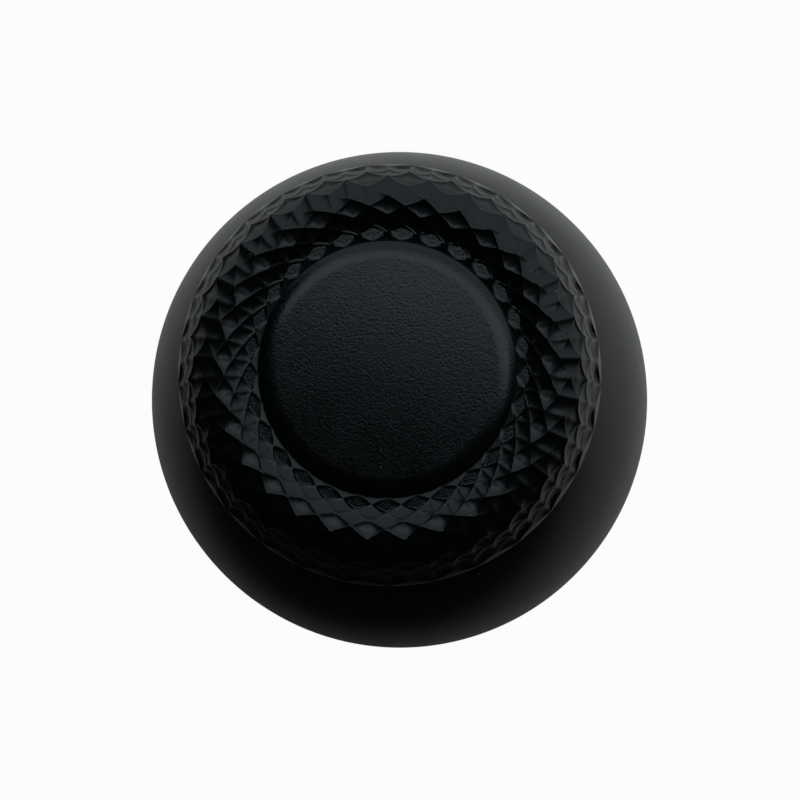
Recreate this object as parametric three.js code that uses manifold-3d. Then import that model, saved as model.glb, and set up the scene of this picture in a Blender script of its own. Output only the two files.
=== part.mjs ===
// Thumb grip of a game controller: a knurled cap on a short neck over a hollow domed skirt.
// Millimetres, +Z up. The origin is the centre of the skirt's foot, so the grip stands on z = 0.

import * as THREE from 'three';
import { mergeVertices } from 'three/addons/utils/BufferGeometryUtils.js';
import Module from 'manifold-3d';

// Thumb disc, the slightly crowned, grained face inside the rim
const discRadius = 5.3;
const discStep = 0.15;      // the disc's crisp edge stands this far above the floor round it
const discCrown = 0.1;      // rise from the disc's edge to its middle
const floorWidth = 0.15;    // flat floor between the disc's edge and the foot of the slope

// Rim of the cap, measured along the line that the corners of the knurl lie on
const slopeLength = 1.4;    // straight run from the floor up towards the crest
const slopeAngle = 31;
const crestRadius = 0.4;
const bevelLength = 1.2;    // straight run from the crest down towards the shoulder
const bevelAngle = 30;
const shoulderRadius = 0.25;
const sideLength = 2.53;
const sideFlare = 14;       // degrees from upright, wider at the bottom
const lipHeight = 0.25;     // plain land under the knurl
const lipChamfer = 0.12;

// Knurl: a net of ridges, up every column and along both diagonals, round triangular hollows
const knurlCount = 29;      // corners of the net in one row, all the way round
const knurlRows = 12;
const knurlDepth = 0.1;
const knurlPhase = 6;       // degrees that the net is turned about the axis

// Neck
const neckRadius = 4.2;
const neckLength = 0.15;    // straight part between its two fillets
const capFillet = 1.2;
const skirtFillet = 1.0;

// Skirt, a spherical shell about the pivot of the joystick
const skirtRadius = 11.0;
const skirtWall = 1.2;
const footHeight = 0.8;     // upright land between the foot and the sphere

// Boss and socket for the joystick's shaft, a round shaft with two flats
const bossRadius = 3.2;
const bossFillet = 0.5;
const bossRecess = 1.5;     // from the foot up to the end of the boss
const socketDepth = 6.5;
const shaftDiameter = 4.0;
const shaftAcrossFlats = 3.0;
const shaftClearance = 0.05;
const socketLeadIn = 0.35;

const MICRON = 0.001;
const UPRIGHT = Math.PI / 2;
const radians = THREE.MathUtils.degToRad;
const slope = radians(slopeAngle);
const bevel = radians(bevelAngle);
const flare = radians(sideFlare);
const columns = 2 * knurlCount;

// A round stretch of the outline, as points from one angle to another about a centre.
function arcPoints(centreR, centreZ, radius, from, to, steps) {
  const arc = new THREE.EllipseCurve(centreR, centreZ, radius, radius, from, to, to < from);
  return arc.getPoints(steps);
}

// Angle of the line from one outline point to another.
function bearing(fromR, fromZ, toR, toZ) {
  return Math.atan2(toZ - fromZ, toR - fromR);
}

// Levels and radii of the skirt, the neck and the boss, from the foot upwards.
const hollowRadius = skirtRadius - skirtWall;
const neckFilletR = neckRadius + skirtFillet;
const neckFilletZ = footHeight + Math.sqrt((skirtRadius + skirtFillet) ** 2 - neckFilletR ** 2);
const bossFilletR = bossRadius + bossFillet;
const bossFilletZ = footHeight + Math.sqrt((hollowRadius - bossFillet) ** 2 - bossFilletR ** 2);
const undersideZ = neckFilletZ + neckLength + capFillet;
const lipTopZ = undersideZ + lipChamfer + lipHeight;

// Radii of the rim from the disc outwards, and its levels from the lip upwards.
const slopeStartR = discRadius + floorWidth;
const crestR = slopeStartR + slopeLength * Math.cos(slope) + crestRadius * Math.sin(slope);
const bevelTopR = crestR + crestRadius * Math.sin(bevel);
const bevelEndR = bevelTopR + bevelLength * Math.cos(bevel);
const shoulderR = bevelEndR - shoulderRadius * Math.sin(bevel);
const sideTopR = shoulderR + shoulderRadius * Math.cos(flare);
const lipR = sideTopR + sideLength * Math.sin(flare);
const sideTopZ = lipTopZ + sideLength * Math.cos(flare);
const shoulderZ = sideTopZ - shoulderRadius * Math.sin(flare);
const bevelEndZ = shoulderZ + shoulderRadius * Math.cos(bevel);
const bevelTopZ = bevelEndZ + bevelLength * Math.sin(bevel);
const crestZ = bevelTopZ - crestRadius * Math.cos(bevel);
const slopeTopR = crestR - crestRadius * Math.sin(slope);
const slopeTopZ = crestZ + crestRadius * Math.cos(slope);
const floorZ = slopeTopZ - slopeLength * Math.sin(slope);
const discZ = floorZ + discStep;

// Line of the rim, from the lip over the shoulder and the crest down to the edge of the disc.
function rimLine() {
  const line = new THREE.CurvePath();
  const at = (r, z) => new THREE.Vector2(r, z);
  const arc = (r, z, radius, from, to) => new THREE.EllipseCurve(r, z, radius, radius, from, to);
  line.add(new THREE.LineCurve(at(lipR, lipTopZ), at(sideTopR, sideTopZ)));
  line.add(arc(shoulderR, shoulderZ, shoulderRadius, flare, UPRIGHT - bevel));
  line.add(new THREE.LineCurve(at(bevelEndR, bevelEndZ), at(bevelTopR, bevelTopZ)));
  line.add(arc(crestR, crestZ, crestRadius, UPRIGHT - bevel, UPRIGHT + slope));
  line.add(new THREE.LineCurve(at(slopeTopR, slopeTopZ), at(slopeStartR, floorZ)));
  line.add(new THREE.LineCurve(at(slopeStartR, floorZ), at(discRadius, floorZ)));
  return line;
}

// Rows of the knurl along the rim. A row is as high as its radius is wide, so that every
// triangle of the net has the same proportions.
function knurlStations() {
  const line = rimLine();
  const fine = 1200;
  const samples = [{ point: line.getPointAt(0), travel: 0 }];
  for (let i = 1; i <= fine; i++) {
    const point = line.getPointAt(i / fine);
    const last = samples[i - 1];
    samples.push({ point, travel: last.travel + point.distanceTo(last.point) / point.x });
  }
  const stations = [];
  for (let row = 0; row < knurlRows; row++) {
    const travel = samples[fine].travel * row / knurlRows;
    stations.push(samples.find((sample) => sample.travel >= travel).point);
  }
  stations.push(samples[fine].point);
  return stations;
}

// Closed outline of half the section, from the axis at the boss round to the axis at the disc.
function sectionOutline(stations) {
  const bossToFillet = bearing(bossFilletR, bossFilletZ, bossRadius, bossFilletZ);
  const hollowFromFillet = bearing(0, footHeight, bossFilletR, bossFilletZ);
  const skirtToFillet = bearing(0, footHeight, neckFilletR, neckFilletZ);
  const points = [
    new THREE.Vector2(0, bossRecess),
    new THREE.Vector2(bossRadius, bossRecess),
    ...arcPoints(bossFilletR, bossFilletZ, bossFillet, bossToFillet, hollowFromFillet, 3),
    ...arcPoints(0, footHeight, hollowRadius, hollowFromFillet, 0, 9).slice(1),
    new THREE.Vector2(hollowRadius, 0),
    new THREE.Vector2(skirtRadius, 0),
    ...arcPoints(0, footHeight, skirtRadius, 0, skirtToFillet, 12),
    ...arcPoints(neckFilletR, neckFilletZ, skirtFillet, skirtToFillet - Math.PI, -Math.PI, 4).slice(1),
    ...arcPoints(neckRadius + capFillet, undersideZ - capFillet, capFillet, Math.PI, UPRIGHT, 4),
    new THREE.Vector2(lipR - lipChamfer, undersideZ),
    new THREE.Vector2(lipR, undersideZ + lipChamfer),
  ];
  const firstStation = points.length;
  points.push(...stations);
  const crownRadius = (discRadius ** 2 + discCrown ** 2) / (2 * discCrown);
  const crownEdge = Math.acos(discRadius / crownRadius);
  const crown = arcPoints(0, discZ + discCrown - crownRadius, crownRadius, crownEdge, UPRIGHT, 4);
  points.push(...crown.slice(0, -1), new THREE.Vector2(0, discZ + discCrown));
  return { points, firstStation };
}

// The turned body with its knurl. In the knurl the corners of the net are every second grid
// point, and each triangle between three corners is a hollow with its deepest point in the middle.
function gripGeometry() {
  const { points, firstStation } = sectionOutline(knurlStations());
  const turned = new THREE.LatheGeometry(points, columns, radians(knurlPhase));
  const places = turned.getAttribute('position');
  const position = [...places.array];
  const index = [];
  const vertex = (column, level) => column * points.length + level;
  const corner = (column, row) => vertex(column, firstStation + row);

  const addPlain = (column, level) => {
    const low = vertex(column, level);
    const lowNext = vertex(column + 1, level);
    index.push(low, lowNext, low + 1, lowNext + 1, low + 1, lowNext);
  };
  const addHollow = (...corners) => {
    const [a, b, c] = corners.map((place) => new THREE.Vector3().fromBufferAttribute(places, place));
    const triangle = new THREE.Triangle(a, b, c);
    const normal = triangle.getNormal(new THREE.Vector3());
    const middle = triangle.getMidpoint(new THREE.Vector3()).addScaledVector(normal, -knurlDepth);
    const deepest = position.length / 3;
    position.push(middle.x, middle.y, middle.z);
    for (let side = 0; side < 3; side++) {
      index.push(corners[side], corners[(side + 1) % 3], deepest);
    }
  };

  for (let column = 0; column < columns; column++) {
    const next = column + 1;
    for (let level = 0; level < points.length - 1; level++) {
      const row = level - firstStation;
      if (row < 0 || row >= knurlRows) {
        addPlain(column, level);
      } else if (row < knurlRows - 1 && (column + row) % 2 !== 0) {
        addHollow(corner(column, row), corner(next, row + 1), corner(column, row + 2));
      } else if (row < knurlRows - 1) {
        addHollow(corner(next, row), corner(next, row + 2), corner(column, row + 1));
      }
    }
    const aboveLip = column % 2 !== 0 ? next : column;
    const belowDisc = (column + knurlRows) % 2 !== 0 ? next : column;
    index.push(corner(column, 0), corner(next, 0), corner(aboveLip, 1));
    index.push(corner(belowDisc, knurlRows - 1), corner(next, knurlRows), corner(column, knurlRows));
  }

  const body = new THREE.BufferGeometry();
  body.setAttribute('position', new THREE.Float32BufferAttribute(position, 3));
  body.setIndex(index);
  body.rotateX(UPRIGHT);
  return body;
}

// Blind socket: a round hole with two flats, and a conical lead-in at its mouth.
function socketGeometry() {
  const radius = shaftDiameter / 2 + shaftClearance;
  const halfFlats = shaftAcrossFlats / 2 + shaftClearance;
  const corner = Math.asin(halfFlats / radius);
  const keyed = new THREE.Shape();
  keyed.absarc(0, 0, radius, -corner, corner, false);
  keyed.absarc(0, 0, radius, Math.PI - corner, Math.PI + corner, false);
  keyed.closePath();
  const hole = new THREE.ExtrudeGeometry(keyed, {
    depth: socketDepth + socketLeadIn,
    bevelEnabled: false,
    curveSegments: 8,
  });
  hole.translate(0, 0, bossRecess - socketLeadIn);
  return hole;
}

function leadInGeometry() {
  const radius = shaftDiameter / 2 + shaftClearance;
  const cone = new THREE.CylinderGeometry(
    radius - socketLeadIn, radius + 2 * socketLeadIn, 3 * socketLeadIn, columns / 2,
  );
  cone.rotateX(UPRIGHT);
  cone.translate(0, 0, bossRecess + socketLeadIn / 2);
  return cone;
}

// Joins shared vertices and drops the triangles that shrink to a line at the axis.
function weld(geometry) {
  const bare = geometry.clone();
  bare.deleteAttribute('normal');
  bare.deleteAttribute('uv');
  const merged = mergeVertices(bare, MICRON);
  const corners = merged.getIndex().array;
  const kept = [];
  for (let i = 0; i < corners.length; i += 3) {
    const [a, b, c] = corners.slice(i, i + 3);
    if (a !== b && b !== c && c !== a) {
      kept.push(a, b, c);
    }
  }
  merged.setIndex(kept);
  return merged;
}

const wasm = await Module();
wasm.setup();

function toSolid(geometry) {
  const welded = weld(geometry);
  return new wasm.Manifold(new wasm.Mesh({
    numProp: 3,
    vertProperties: new Float32Array(welded.getAttribute('position').array),
    triVerts: new Uint32Array(welded.getIndex().array),
  }));
}

function toGeometry(solid) {
  const mesh = solid.getMesh();
  const geometry = new THREE.BufferGeometry();
  geometry.setAttribute('position', new THREE.BufferAttribute(mesh.vertProperties, 3));
  geometry.setIndex(new THREE.BufferAttribute(mesh.triVerts, 1));
  geometry.computeVertexNormals();
  return geometry;
}

const blackPlastic = new THREE.MeshStandardMaterial({
  color: 0x1d2022,
  roughness: 0.45,
  metalness: 0,
});

function thumbGrip() {
  const body = toSolid(gripGeometry());
  const bored = body.subtract(toSolid(socketGeometry())).subtract(toSolid(leadInGeometry()));
  const mesh = new THREE.Mesh(toGeometry(bored), blackPlastic);
  mesh.name = 'thumb_grip';
  return mesh;
}

const grip = new THREE.Group();
grip.add(thumbGrip());

export default grip;
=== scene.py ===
import math
import random

import bpy
from mathutils import Matrix, Quaternion, Vector


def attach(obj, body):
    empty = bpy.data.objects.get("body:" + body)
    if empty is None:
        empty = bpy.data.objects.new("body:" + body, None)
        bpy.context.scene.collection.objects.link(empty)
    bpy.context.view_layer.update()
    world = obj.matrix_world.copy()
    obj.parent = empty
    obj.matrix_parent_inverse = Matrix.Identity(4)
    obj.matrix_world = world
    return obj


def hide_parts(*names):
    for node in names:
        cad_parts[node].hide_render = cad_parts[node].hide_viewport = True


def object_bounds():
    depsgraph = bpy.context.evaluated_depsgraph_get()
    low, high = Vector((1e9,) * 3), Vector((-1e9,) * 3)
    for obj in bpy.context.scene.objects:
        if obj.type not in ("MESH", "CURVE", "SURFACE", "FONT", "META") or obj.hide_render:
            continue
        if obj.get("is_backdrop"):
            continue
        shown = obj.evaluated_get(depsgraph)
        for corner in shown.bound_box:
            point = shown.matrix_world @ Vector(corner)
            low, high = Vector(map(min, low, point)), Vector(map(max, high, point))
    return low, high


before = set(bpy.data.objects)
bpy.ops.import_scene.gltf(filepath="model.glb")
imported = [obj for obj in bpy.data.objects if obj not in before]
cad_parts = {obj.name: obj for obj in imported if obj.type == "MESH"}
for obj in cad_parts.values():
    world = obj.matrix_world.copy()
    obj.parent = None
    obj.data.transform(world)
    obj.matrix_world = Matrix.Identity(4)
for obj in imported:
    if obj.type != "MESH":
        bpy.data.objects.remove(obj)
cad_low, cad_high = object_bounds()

# The thumb grip is one moulding of black plastic: a knurled cap on a short neck over a domed skirt,
# with a keyed socket for the joystick's shaft inside. Every stretch of it but the socket is turned
# about the upright axis, so the mould's section comes first, from the socket round to the thumb disc.
MM = 0.001
UPRIGHT = math.pi / 2
disc_radius = 5.3 * MM
disc_step = 0.15 * MM
disc_crown = 0.10 * MM
disc_bevel = 0.04 * MM
floor_width = 0.15 * MM

slope_length = 1.4 * MM
slope_angle = math.radians(31)
crest_radius = 0.4 * MM
bevel_length = 1.2 * MM
bevel_angle = math.radians(30)
shoulder_radius = 0.25 * MM
side_length = 2.53 * MM
side_flare = math.radians(14)
lip_height = 0.25 * MM
lip_chamfer = 0.12 * MM

neck_radius = 4.2 * MM
neck_length = 0.15 * MM
cap_fillet = 1.2 * MM
skirt_fillet = 1.0 * MM
skirt_radius = (cad_high.y - cad_low.y) / 2
skirt_wall = 1.2 * MM
foot_height = 0.8 * MM
foot_round = 0.15 * MM

boss_radius = 3.2 * MM
boss_fillet = 0.5 * MM
boss_recess = 1.5 * MM
boss_chamfer = 0.12 * MM
socket_depth = 6.5 * MM
socket_radius = 2.05 * MM
socket_half_flats = 1.55 * MM
socket_lead_in = 0.35 * MM

# The net's corners in each row, its rows, and the mesh cells in each row and in each half pitch
knurl_count = 29
knurl_rows = 12
cells = 9


def arc(centre, radius, start, end, steps):
    """Points of a round stretch of the section."""
    points = []
    for step in range(steps + 1):
        angle = start + (end - start) * step / steps
        points.append((centre[0] + radius * math.cos(angle), centre[1] + radius * math.sin(angle)))
    return points


def straight(start, end, steps):
    """Points of a straight stretch of the section."""
    return [tuple(a + (b - a) * step / steps for a, b in zip(start, end)) for step in range(steps + 1)]


def bearing(start, end):
    """Angle of the line from one point of the section to another."""
    return math.atan2(end[1] - start[1], end[0] - start[0])


def beyond(start, length, angle):
    """The point that lies so far from another, at an angle."""
    return start[0] + length * math.cos(angle), start[1] + length * math.sin(angle)


def above_pivot(radius, distance):
    """The point at a radius from the axis and a distance from the centre of the skirt's sphere."""
    return radius, foot_height + math.sqrt(distance ** 2 - radius ** 2)


pivot = (0.0, foot_height)
hollow_radius = skirt_radius - skirt_wall
neck_fillet = above_pivot(neck_radius + skirt_fillet, skirt_radius + skirt_fillet)
boss_corner = above_pivot(boss_radius + boss_fillet, hollow_radius - boss_fillet)
underside_z = neck_fillet[1] + neck_length + cap_fillet
lip_top_z = underside_z + lip_chamfer + lip_height

# The rim is worked out from the disc's edge outwards, with its floor at height 0, and then raised
# until it meets the lip. Its line has many short steps, from which the knurl's rows are picked.
slope_foot = (disc_radius + floor_width, 0.0)
slope_top = beyond(slope_foot, slope_length, slope_angle)
crest_centre = beyond(slope_top, crest_radius, slope_angle - UPRIGHT)
bevel_top = beyond(crest_centre, crest_radius, UPRIGHT - bevel_angle)
bevel_end = beyond(bevel_top, bevel_length, -bevel_angle)
shoulder_centre = beyond(bevel_end, shoulder_radius, -bevel_angle - UPRIGHT)
side_top = beyond(shoulder_centre, shoulder_radius, side_flare)
lip = beyond(side_top, side_length, side_flare - UPRIGHT)
floor_z = lip_top_z - lip[1]
disc_z = floor_z + disc_step
short_steps = 300
rim_line = straight(lip, side_top, short_steps)
rim_line += arc(shoulder_centre, shoulder_radius, side_flare, UPRIGHT - bevel_angle, short_steps)
rim_line += straight(bevel_end, bevel_top, short_steps)
rim_line += arc(crest_centre, crest_radius, UPRIGHT - bevel_angle, UPRIGHT + slope_angle, short_steps)
rim_line += straight(slope_top, slope_foot, short_steps)
rim_line += straight(slope_foot, (disc_radius, 0.0), short_steps)
rim_line = [(r, z + floor_z) for r, z in rim_line]

# A row's height grows with its radius, as its pitch does, so all triangles have the same proportions.
travel = [0.0]
for (r0, z0), (r1, z1) in zip(rim_line, rim_line[1:]):
    travel.append(travel[-1] + math.hypot(r1 - r0, z1 - z0) / r1)
knurl_steps = knurl_rows * cells
knurl_points = []
at = 0
for step in range(knurl_steps + 1):
    while at < len(travel) - 1 and travel[at] < travel[-1] * step / knurl_steps:
        at += 1
    knurl_points.append(rim_line[at])

# Section: radius, height, row of the knurl or -1, 1 on the socket's keyed wall, texture of the mould
SATIN, KNURLED, GRAINED = 0, 1, 2
section = []


def plain(points, texture=SATIN, keyed=0):
    """Adds a stretch without a knurl to the section."""
    for r, z in points:
        section.append((r, z, -1, keyed, texture))


socket_floor = boss_recess + socket_depth
cone_mouth = (socket_radius + socket_lead_in, boss_recess)
cone_height = socket_lead_in + socket_radius - socket_half_flats
cone_top = (cone_mouth[0] - cone_height, boss_recess + cone_height)
hollow_from = bearing(pivot, boss_corner)
skirt_to = bearing(pivot, neck_fillet)
plain([(0, socket_floor)])
plain([(0, socket_floor)] + straight(cone_top, cone_mouth, 6), keyed=1)
plain([(boss_radius - boss_chamfer, boss_recess), (boss_radius, boss_recess + boss_chamfer)])
plain(arc(boss_corner, boss_fillet, math.pi, hollow_from, 4))
plain(arc(pivot, hollow_radius, hollow_from, 0, 12)[1:])
plain(arc((hollow_radius + foot_round, foot_round), foot_round, math.pi, 1.5 * math.pi, 3))
plain(arc((skirt_radius - foot_round, foot_round), foot_round, -UPRIGHT, 0, 3))
plain(arc(pivot, skirt_radius, 0, skirt_to, 18))
plain(arc(neck_fillet, skirt_fillet, skirt_to - math.pi, -math.pi, 6)[1:])
plain(arc((neck_radius + cap_fillet, underside_z - cap_fillet), cap_fillet, math.pi, UPRIGHT, 6))
plain([(lip[0] - lip_chamfer, underside_z), (lip[0], underside_z + lip_chamfer)])
first_station = len(section)
for step, (r, z) in enumerate(knurl_points):
    section.append((r, z, step / cells, 0, KNURLED))
crown_edge = disc_radius - disc_bevel
crown_radius = (crown_edge ** 2 + disc_crown ** 2) / (2 * disc_crown)
crown_centre = (0, disc_z + disc_crown - crown_radius)
plain([(disc_radius, disc_z - disc_bevel)])
plain(arc(crown_centre, crown_radius, math.acos(crown_edge / crown_radius), UPRIGHT, 7), texture=GRAINED)

# The skin of the moulding is first a flat sheet: x runs round the grip in half pitches of the knurl,
# and y along the section. In the knurl its faces are cut along the ridges that they will carry.
columns = 2 * knurl_count * cells
across = columns + 1
corners = [(column / cells, station, 0) for station in range(len(section)) for column in range(across)]
faces = []
for station in range(len(section) - 1):
    row = (station - first_station) // cells
    for column in range(columns):
        low = station * across + column
        high = low + across
        if section[station][2] < 0 or section[station + 1][2] < 0:
            faces.append((low, low + 1, high + 1, high))
        elif (column // cells + row) % 2:
            faces += [(low, low + 1, high + 1), (low, high + 1, high)]
        else:
            faces += [(low, low + 1, high), (low + 1, high + 1, high)]
sheet = bpy.data.meshes.new("sheet")
sheet.from_pydata(corners, [], faces)
sheet_points = [point for point in section for column in range(across)]
for name, entry in (("row", 2), ("keyed", 3), ("texture", 4)):
    layer = sheet.attributes.new(name, "FLOAT", "POINT")
    layer.data.foreach_set("value", [float(point[entry]) for point in sheet_points])
layer = sheet.attributes.new("section", "FLOAT_VECTOR", "POINT")
layer.data.foreach_set("vector", [part for point in sheet_points for part in (point[0], 0.0, point[1])])


class Wire:
    """One output of a node. Arithmetic on it adds the Math nodes that work it out."""

    def __init__(self, socket):
        self.socket = socket
        self.tree = socket.id_data

    @staticmethod
    def node(tree, kind, settings=None, inputs=None):
        """Adds a node of any kind: its settings first, then the values or wires of its sockets."""
        made = tree.nodes.new(kind)
        for name, value in (settings or {}).items():
            setattr(made, name, value)
        for name, value in (inputs or {}).items():
            if isinstance(value, Wire):
                tree.links.new(value.socket, made.inputs[name])
            else:
                made.inputs[name].default_value = value
        shown = [output for output in made.outputs if output.enabled]
        return Wire(shown[0]) if shown else None

    def out(self, name):
        """Another output of the same node."""
        return Wire(self.socket.node.outputs[name])

    def maths(self, operation, *others):
        operands = dict(enumerate((self, *others)))
        return Wire.node(self.tree, "ShaderNodeMath", {"operation": operation}, operands)

    def vector(self, operation, *others):
        operands = dict(enumerate((self, *others)))
        return Wire.node(self.tree, "ShaderNodeVectorMath", {"operation": operation}, operands)

    def scaled(self, share):
        return Wire.node(self.tree, "ShaderNodeVectorMath", {"operation": "SCALE"}, {0: self, "Scale": share})

    def held(self, lowest, highest):
        """This value, kept from passing either limit."""
        return self.maths("MAXIMUM", lowest).maths("MINIMUM", highest)

    def between(self, first, second):
        """A colour between two: the first where this value is 0, the second where it is 1."""
        factor, colour_a, colour_b, result = 0, 6, 7, 2
        inputs = {factor: self, colour_a: first, colour_b: second}
        return Wire.node(self.tree, "ShaderNodeMix", {"data_type": "RGBA"}, inputs).out(result)

    def __add__(self, other):
        return self.maths("ADD", other)

    def __sub__(self, other):
        return self.maths("SUBTRACT", other)

    def __mul__(self, other):
        return self.maths("MULTIPLY", other)

    def __truediv__(self, other):
        return self.maths("DIVIDE", other)

    def __rsub__(self, other):
        return Wire.node(self.tree, "ShaderNodeMath", {"operation": "SUBTRACT"}, {0: other, 1: self})

    __radd__ = __add__
    __rmul__ = __mul__


# The mould turns the sheet about the axis. The knurl is a net of ridges, up every column and along
# both diagonals, and each triangle between three ridges is a shallow hollow.
turning = bpy.data.node_groups.new("turn_and_knurl", "GeometryNodeTree")
turning.is_modifier = True
turning.interface.new_socket("Sheet", in_out="INPUT", socket_type="NodeSocketGeometry")
sizes = {
    "Count": ("NodeSocketInt", knurl_count),
    "Rows": ("NodeSocketInt", knurl_rows),
    "Cells": ("NodeSocketInt", cells),
    "First Station": ("NodeSocketInt", first_station),
    "Depth": ("NodeSocketFloat", 0.10 * MM),
    "Side Rows": ("NodeSocketFloat", 4.2),
    "Side Extra": ("NodeSocketFloat", 0.5),
    "Bevel Rows": ("NodeSocketFloat", 7.6),
    "Flute Share": ("NodeSocketFloat", 0.7),
    "Scallop Extra": ("NodeSocketFloat", 1.5),
    "Scallop Grained From": ("NodeSocketFloat", 0.6),
    "Ridge Share": ("NodeSocketFloat", 0.2),
    "Ridge Power": ("NodeSocketFloat", 3.0),
    "Ridge Round": ("NodeSocketFloat", 0.04),
    "Floor": ("NodeSocketFloat", floor_z),
    "Phase": ("NodeSocketFloat", math.radians(6 - 90)),
    "Socket Radius": ("NodeSocketFloat", socket_radius),
    "Socket Flats": ("NodeSocketFloat", socket_half_flats),
}
identifiers = {}
for name, (kind, value) in sizes.items():
    identifiers[name] = turning.interface.new_socket(name, in_out="INPUT", socket_type=kind).identifier
for name in ("Satin", "Knurled", "Grained"):
    made = turning.interface.new_socket(name, in_out="INPUT", socket_type="NodeSocketMaterial")
    identifiers[name] = made.identifier
turning.interface.new_socket("Grip", in_out="OUTPUT", socket_type="NodeSocketGeometry")
given = Wire.node(turning, "NodeGroupInput")


def named(name, kind="FLOAT"):
    """An attribute that the sheet carries."""
    return Wire.node(turning, "GeometryNodeInputNamedAttribute", {"data_type": kind}, {"Name": name})


def split(vector):
    return Wire.node(turning, "ShaderNodeSeparateXYZ", None, {"Vector": vector})


def turned(half_pitches):
    """The angle about the axis of a place so many half pitches round the knurl."""
    return half_pitches * math.pi / given.out("Count") + given.out("Phase")


def around(r, z, half_pitches):
    """The place at a radius and a height, turned about the axis."""
    angle = turned(half_pitches)
    return Wire.node(turning, "ShaderNodeCombineXYZ", None, {
        "X": r * angle.maths("COSINE"), "Y": r * angle.maths("SINE"), "Z": z,
    })


def section_at(row):
    """Radius and height of the section at a whole row of the knurl."""
    station = given.out("First Station") + row * given.out("Cells")
    index = station * (given.out("Count") * given.out("Cells") * 2 + 1)
    settings = {"data_type": "FLOAT_VECTOR", "domain": "POINT"}
    inputs = {"Geometry": given, "Value": named("section", "FLOAT_VECTOR"), "Index": index}
    return Wire.node(turning, "GeometryNodeSampleIndex", settings, inputs)


def net_corner(row, half_pitches):
    """A corner of the net. Past the first and the last row the section goes on in a straight line."""
    inside = row.held(0.0, given.out("Rows"))
    near = section_at(inside)
    place = split(near.vector("ADD", near.vector("SUBTRACT", section_at(inside * 2 - row))))
    return around(place.out("X"), place.out("Z"), half_pitches)


# Each triangle of the net has an upper and a lower corner in one column, and its apex half a pitch
# away in the row between them. The three shares say how near a point is to each corner, and their
# sum is 1. The sheet's last column is the same place as its first.
half_pitches = split(Wire.node(turning, "GeometryNodeInputPosition")).out("X")
half_pitches = half_pitches.maths("MODULO", given.out("Count") * 2)
row = named("row")
knurled = row.maths("GREATER_THAN", -0.5)
rising = (half_pitches + row + 1) * 0.5
falling = (half_pitches - row + 1) * 0.5
rising_part, falling_part = rising.maths("FRACT"), falling.maths("FRACT")
spare = 1 - rising_part - falling_part
apex_ahead = spare.maths("LESS_THAN", 0.0)
apex_share = spare.maths("ABSOLUTE")
upper_share = rising_part + apex_ahead * spare
lower_share = falling_part + apex_ahead * spare
middle_row = rising.maths("FLOOR") - falling.maths("FLOOR")
side_column = rising.maths("FLOOR") + falling.maths("FLOOR")
apex = net_corner(middle_row, side_column - 1 + apex_ahead * 2)
upper = net_corner(middle_row + 1, side_column)
lower = net_corner(middle_row - 1, side_column)
level_place = apex.scaled(apex_share).vector("ADD", upper.scaled(upper_share))
level_place = level_place.vector("ADD", lower.scaled(lower_share))
facing = upper.vector("SUBTRACT", lower).vector("CROSS_PRODUCT", apex.vector("SUBTRACT", lower))
facing = facing.vector("NORMALIZE").scaled(1 - apex_ahead * 2)

# The half triangles at the net's two ends stay flat, and the last whole ones are scallops cut down
# to the floor beside the disc. The factors 3 and 4 bring each kind of hollow to 1 at its deepest: the
# smallest share is at most 1/3, products of two shares add up to 1/3 at most, and a flute's is 1/4.
rows_left = given.out("Rows") - middle_row
whole = middle_row.maths("GREATER_THAN", 0.5) * rows_left.maths("GREATER_THAN", 0.5)
beside_disc = whole * rows_left.maths("LESS_THAN", 1.5)
from_ridge = upper_share.maths("SMOOTH_MIN", lower_share, given.out("Ridge Round"))
from_ridge = from_ridge.maths("SMOOTH_MIN", apex_share + beside_disc, given.out("Ridge Round")) * 3
ridge = (1 - from_ridge.held(0.0, 1.0)).maths("POWER", given.out("Ridge Power"))
scoop = (upper_share * lower_share + (upper_share + lower_share) * apex_share) * 3
sharpness = given.out("Ridge Share").maths("MAXIMUM", beside_disc)
flute = apex_share * (1 - apex_share) * 4
above_side = (row - given.out("Side Rows")).held(0.0, 1.0)
on_bevel = above_side * (given.out("Bevel Rows") - row).held(0.0, 1.0)
fluted = on_bevel * given.out("Flute Share")
hollow = (scoop * (1 - sharpness) + (1 - ridge) * sharpness) * (1 - fluted) + flute * fluted
deepened = 1 + beside_disc * given.out("Scallop Extra") + (1 - above_side) * given.out("Side Extra")
sunk = hollow * whole * given.out("Depth") * deepened
sunk_place = split(level_place.vector("SUBTRACT", facing.scaled(sunk)))
knurled_place = Wire.node(turning, "ShaderNodeCombineXYZ", None, {
    "X": sunk_place.out("X"),
    "Y": sunk_place.out("Y"),
    "Z": sunk_place.out("Z").maths("MAXIMUM", given.out("Floor") * beside_disc),
})

# Everything else keeps its own radius, apart from the socket's wall: that is a circle cut off by the
# two flats that face +Y and -Y. Where the flats run out, their reach is held short of infinity.
own = split(named("section", "FLOAT_VECTOR"))
towards_flat = turned(half_pitches).maths("SINE").maths("ABSOLUTE").maths("MAXIMUM", 0.01)
key_wall = (given.out("Socket Flats") / towards_flat).maths("MINIMUM", given.out("Socket Radius"))
plain_place = around(own.out("X").maths("MAXIMUM", key_wall * named("keyed")), own.out("Z"), half_pitches)
place = Wire.node(turning, "GeometryNodeSwitch", {"input_type": "VECTOR"}, {
    "Switch": knurled, "False": plain_place, "True": knurled_place,
})

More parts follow.
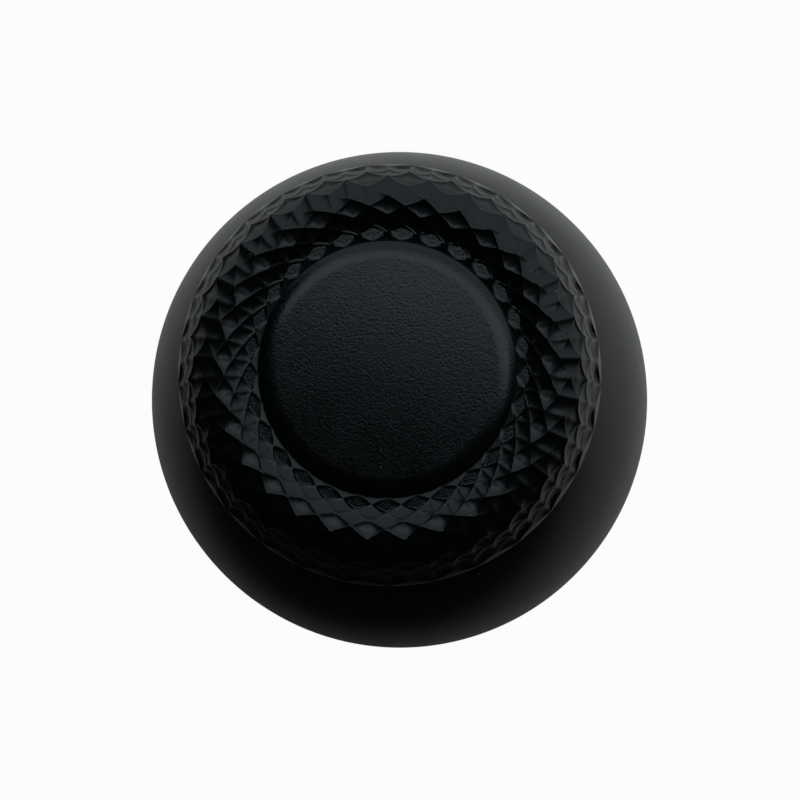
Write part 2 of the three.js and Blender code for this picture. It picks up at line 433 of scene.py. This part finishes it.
# The bottoms of the scallops take the disc's grain, which is the next texture after the knurl's.
grained_bottom = beside_disc * (1 - ridge).maths("GREATER_THAN", given.out("Scallop Grained From")) * knurled
stored = Wire.node(turning, "GeometryNodeStoreNamedAttribute", {"data_type": "FLOAT", "domain": "POINT"}, {
    "Geometry": given, "Name": "texture", "Value": named("texture") + grained_bottom,
})
shaped = Wire.node(turning, "GeometryNodeSetPosition", None, {"Geometry": stored, "Position": place})
seam_gap = 0.0001 * MM
closed = Wire.node(turning, "GeometryNodeMergeByDistance", None, {"Geometry": shaped, "Distance": seam_gap})
sharp_angle = math.radians(60)
sharp = Wire.node(turning, "GeometryNodeInputMeshEdgeAngle").maths("GREATER_THAN", sharp_angle)
smooth = Wire.node(turning, "GeometryNodeSetShadeSmooth", {"domain": "FACE"}, {"Geometry": closed})
smooth = Wire.node(
    turning, "GeometryNodeSetShadeSmooth", {"domain": "EDGE"},
    {"Geometry": smooth, "Selection": sharp, "Shade Smooth": False},
)
solid = Wire.node(turning, "GeometryNodeRealizeInstances", None, {"Geometry": smooth})

# A face takes a texture where the mean of its corners passes it, or comes this near to it.
where = named("texture")
leeway = 0.4
for name, texture in (("Satin", SATIN), ("Knurled", KNURLED), ("Grained", GRAINED)):
    solid = Wire.node(turning, "GeometryNodeSetMaterial", None, {
        "Geometry": solid,
        "Selection": where.maths("GREATER_THAN", texture - leeway),
        "Material": given.out(name),
    })
Wire.node(turning, "NodeGroupOutput", None, {"Grip": solid})


def bare_tree(owner):
    """The node tree of a new material or world, emptied of its ready-made nodes."""
    owner.use_nodes = True
    owner.node_tree.nodes.clear()
    return owner.node_tree


def black_plastic(name, grain, relief, roughness):
    """The grip's black plastic, with the texture that this stretch of the mould was given."""
    deep_black = (0.0018, 0.0024, 0.0028, 1)
    pale_black = (0.0030, 0.0038, 0.0042, 1)
    cloud_size = 1.5 * MM
    grain_sheen = 0.12
    cloud_sheen = 0.10
    material = bpy.data.materials.new(name)
    tree = bare_tree(material)
    place = Wire.node(tree, "ShaderNodeTexCoord").out("Object")
    pits = Wire.node(tree, "ShaderNodeTexNoise", {"noise_dimensions": "3D"}, {
        "Vector": place, "Scale": 1 / grain, "Detail": 2.0, "Roughness": 0.55, "Distortion": 0.4,
    })
    cloud = Wire.node(tree, "ShaderNodeTexNoise", {"noise_dimensions": "3D"}, {
        "Vector": place, "Scale": 1 / cloud_size, "Detail": 3.0, "Roughness": 0.6,
    })
    sheen = roughness + (pits - 0.5) * grain_sheen + (cloud - 0.5) * cloud_sheen
    bump = Wire.node(tree, "ShaderNodeBump", None, {"Height": pits, "Distance": relief, "Strength": 1.0})
    surface = Wire.node(tree, "ShaderNodeBsdfPrincipled", None, {
        "Base Color": cloud.between(deep_black, pale_black), "Roughness": sheen, "Normal": bump, "IOR": 1.5,
    })
    Wire.node(tree, "ShaderNodeOutputMaterial", None, {"Surface": surface})
    return material


def add_object(name, data):
    made = bpy.data.objects.new(name, data)
    bpy.context.scene.collection.objects.link(made)
    return made


grip = add_object("thumb_grip_moulding", sheet)
mould = grip.modifiers.new("mould", "NODES")
mould.node_group = turning
for name, (kind, value) in sizes.items():
    mould[identifiers[name]] = value
mould[identifiers["Satin"]] = black_plastic("satin_black", 0.08 * MM, 0.0006 * MM, 0.32)
mould[identifiers["Knurled"]] = black_plastic("knurled_black", 0.07 * MM, 0.0015 * MM, 0.32)
mould[identifiers["Grained"]] = black_plastic("grained_black", 0.11 * MM, 0.008 * MM, 0.20)
evaluated = grip.evaluated_get(bpy.context.evaluated_depsgraph_get())
grip_mesh = bpy.data.meshes.new_from_object(evaluated)
grip.modifiers.clear()
grip.data = grip_mesh
grip_mesh.name = "thumb_grip_moulding"
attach(grip, "root")
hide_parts("thumb_grip")

# The table is a wide white sheet that the grip stands on. The camera sees it white all over. Its paper colour
# is
# painted light and shade: white on the window's side, and painted ever darker towards the near side of the
# room.
table_reach = 0.6
window_azimuth = math.radians(75)
dark_from = -15 * MM
bright_from = 12 * MM
painted_darkest_share = 0.03
paper_white = (0.8, 0.8, 0.8, 1)
shown_share = 0.97
painted_reflection_share = 0.38
table_corners = [(x * table_reach, y * table_reach, 0) for x, y in ((-1, -1), (1, -1), (1, 1), (-1, 1))]
table_mesh = bpy.data.meshes.new("table")
table_mesh.from_pydata(table_corners, [], [(0, 1, 2, 3)])
table = add_object("table", table_mesh)
white = bpy.data.materials.new("white_table_painted_light")
tree = bare_tree(white)
place = Wire.node(tree, "ShaderNodeTexCoord").out("Object")
apart = Wire.node(tree, "ShaderNodeSeparateXYZ", None, {"Vector": place})
towards_window = apart.out("X") * math.cos(window_azimuth) + apart.out("Y") * math.sin(window_azimuth)
# Painted light and shade on the paper: its share of white runs from the darkest share, away from the window,
# to full white towards it.
painted_light = Wire.node(tree, "ShaderNodeMapRange", None, {
    "Value": towards_window,
    "From Min": dark_from,
    "From Max": bright_from,
    "To Min": painted_darkest_share,
    "To Max": 1.0,
})
paper = Wire.node(tree, "ShaderNodeBsdfDiffuse", None, {"Color": painted_light.between((0, 0, 0, 1), paper_white)})
glow = Wire.node(tree, "ShaderNodeEmission", None, {"Color": (1, 1, 1, 1), "Strength": 1.0})
path = Wire.node(tree, "ShaderNodeLightPath")
# Glossy rays see a painted reflection: the white glow, scaled by the same painted light gradient.
seen = path.out("Is Camera Ray") * shown_share + path.out("Is Glossy Ray") * painted_light * painted_reflection_share
both = Wire.node(tree, "ShaderNodeMixShader", None, {0: seen, 1: paper, 2: glow})
Wire.node(tree, "ShaderNodeOutputMaterial", None, {"Surface": both})
table_mesh.materials.append(white)
table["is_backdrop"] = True

# Cool daylight falls from the far side, through a wide low window and a small skylight above it. The
# room all round is almost dark, and only the camera sees it white, past the table's edge.
daylight = (0.76, 0.93, 1.0)
lamp_distance = 0.20
cap_height = 12 * MM
room_strength = 0.004
room = bpy.data.worlds.new("room")
bpy.context.scene.world = room
tree = bare_tree(room)
walls = Wire.node(tree, "ShaderNodeBackground", None, {"Color": (1, 1, 1, 1), "Strength": room_strength})
backdrop = Wire.node(tree, "ShaderNodeBackground", None, {"Color": (1, 1, 1, 1), "Strength": 1.0})
seen = Wire.node(tree, "ShaderNodeLightPath").out("Is Camera Ray")
both = Wire.node(tree, "ShaderNodeMixShader", None, {0: seen, 1: walls, 2: backdrop})
Wire.node(tree, "ShaderNodeOutputWorld", None, {"Surface": both})


def softbox(name, azimuth, elevation, width, height, brightness):
    """A soft lamp that faces the cap. Azimuth is 0 at the right of the picture and 90 at its top."""
    lamp = bpy.data.lights.new(name, "AREA")
    lamp.shape = "RECTANGLE"
    lamp.size = width
    lamp.size_y = height
    lamp.energy = brightness * math.pi * width * height
    lamp.color = daylight
    a, e = math.radians(azimuth), math.radians(elevation)
    towards = Vector((math.cos(a) * math.cos(e), math.sin(a) * math.cos(e), math.sin(e)))
    holder = add_object(name, lamp)
    holder.location = Vector((0, 0, cap_height)) + towards * lamp_distance
    holder.rotation_mode = "QUATERNION"
    holder.rotation_quaternion = (-towards).to_track_quat("-Z", "Y")


softbox("window", azimuth=70, elevation=30, width=0.60, height=0.22, brightness=0.50)
softbox("skylight", azimuth=72, elevation=71, width=0.24, height=0.08, brightness=1.05)

# The camera looks almost straight down, five degrees off the axis and a little from the right. Its
# lens makes the skirt as wide as it is in the picture, which is 800 pixels across.
view_azimuth = math.radians(21.5)
view_elevation = math.radians(84.75)
view_distance = 0.2
skirt_radius_in_pixels = 247.76
picture = 800
camera = bpy.data.cameras.new("camera")
camera.sensor_width = 36
focal_in_pixels = skirt_radius_in_pixels / math.tan(math.asin(skirt_radius / view_distance))
camera.lens = focal_in_pixels * camera.sensor_width / picture
camera.shift_x = 0.51 / picture
camera.shift_y = -0.33 / picture
back = Vector((
    math.sin(view_azimuth) * math.cos(view_elevation),
    -math.cos(view_azimuth) * math.cos(view_elevation),
    math.sin(view_elevation),
))
right = Vector((0, 1, 0)).cross(back).normalized()
up = back.cross(right)
eye = add_object("camera", camera)
eye_place = Vector((0, 0, foot_height)) + back * view_distance
eye.matrix_world = Matrix.Translation(eye_place) @ Matrix((right, up, back)).transposed().to_4x4()
bpy.context.scene.camera = eye
bpy.context.scene.view_settings.view_transform = "Standard"

# Dust has settled on the grip: pale flecks and one short fibre of lint, loose on the plastic. Each is
# given by its pixel in the picture and its length and width in millimetres, and is laid on the surface
# seen there, turned at random, with its lower tip just inside the plastic.
flecks = (
    (250, 254, 0.07, 0.05), (557, 291, 0.08, 0.05), (578, 291, 0.08, 0.06), (594, 358, 0.06, 0.05),
    (479, 574, 0.08, 0.06), (283, 606, 0.07, 0.06), (289, 574, 0.06, 0.05), (229, 540, 0.36, 0.025),
    (521, 417, 0.06, 0.05), (471, 515, 0.06, 0.05), (412, 404, 0.05, 0.04), (381, 450, 0.05, 0.04),
    (381, 467, 0.05, 0.04),
)
fleck_thickness = 0.012 * MM
fleck_lift = 0.3
fleck_corners = ((1, 0, 0), (0, 1, 0), (-1, 0, 0), (0, -1, 0), (0, 0, 1), (0, 0, -1))
fleck_sides = ((0, 1, 4), (1, 2, 4), (2, 3, 4), (3, 0, 4), (1, 0, 5), (2, 1, 5), (3, 2, 5), (0, 3, 5))
draw = random.Random(7)
bpy.context.view_layer.update()
dust_points = []
dust_faces = []
for pixel_x, pixel_y, length, width in flecks:
    across_view = (pixel_x / picture - 0.5 + camera.shift_x) * camera.sensor_width
    up_view = (0.5 - pixel_y / picture + camera.shift_y) * camera.sensor_width
    sight = right * across_view + up * up_view - back * camera.lens
    spot, normal = grip.ray_cast(eye.matrix_world.translation, sight.normalized())[1:3]
    along = normal.orthogonal().normalized()
    along.rotate(Quaternion(normal, draw.uniform(0, math.pi)))
    aside = normal.cross(along)
    first = len(dust_points)
    for x, y, z in fleck_corners:
        offset = along * (x * length * MM / 2) + aside * (y * width * MM / 2)
        dust_points.append(spot + offset + normal * (z / 2 + fleck_lift) * fleck_thickness)
    dust_faces += [tuple(first + corner for corner in side) for side in fleck_sides]
dust_mesh = bpy.data.meshes.new("dust_flecks")
dust_mesh.from_pydata(dust_points, [], dust_faces)
dust = add_object("dust_flecks", dust_mesh)
grey_lint = (0.30, 0.32, 0.33, 1)
white_lint = (0.60, 0.62, 0.62, 1)
mottle_size = 0.03 * MM
lint = bpy.data.materials.new("pale_lint")
tree = bare_tree(lint)
place = Wire.node(tree, "ShaderNodeTexCoord").out("Object")
mottle = Wire.node(tree, "ShaderNodeTexNoise", None, {"Vector": place, "Scale": 1 / mottle_size})
fluff = Wire.node(tree, "ShaderNodeBsdfPrincipled", None, {
    "Base Color": mottle.between(grey_lint, white_lint), "Roughness": 0.8 + mottle * 0.2, "IOR": 1.45,
})
Wire.node(tree, "ShaderNodeOutputMaterial", None, {"Surface": fluff})
dust_mesh.materials.append(lint)
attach(dust, "root")

low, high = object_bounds()
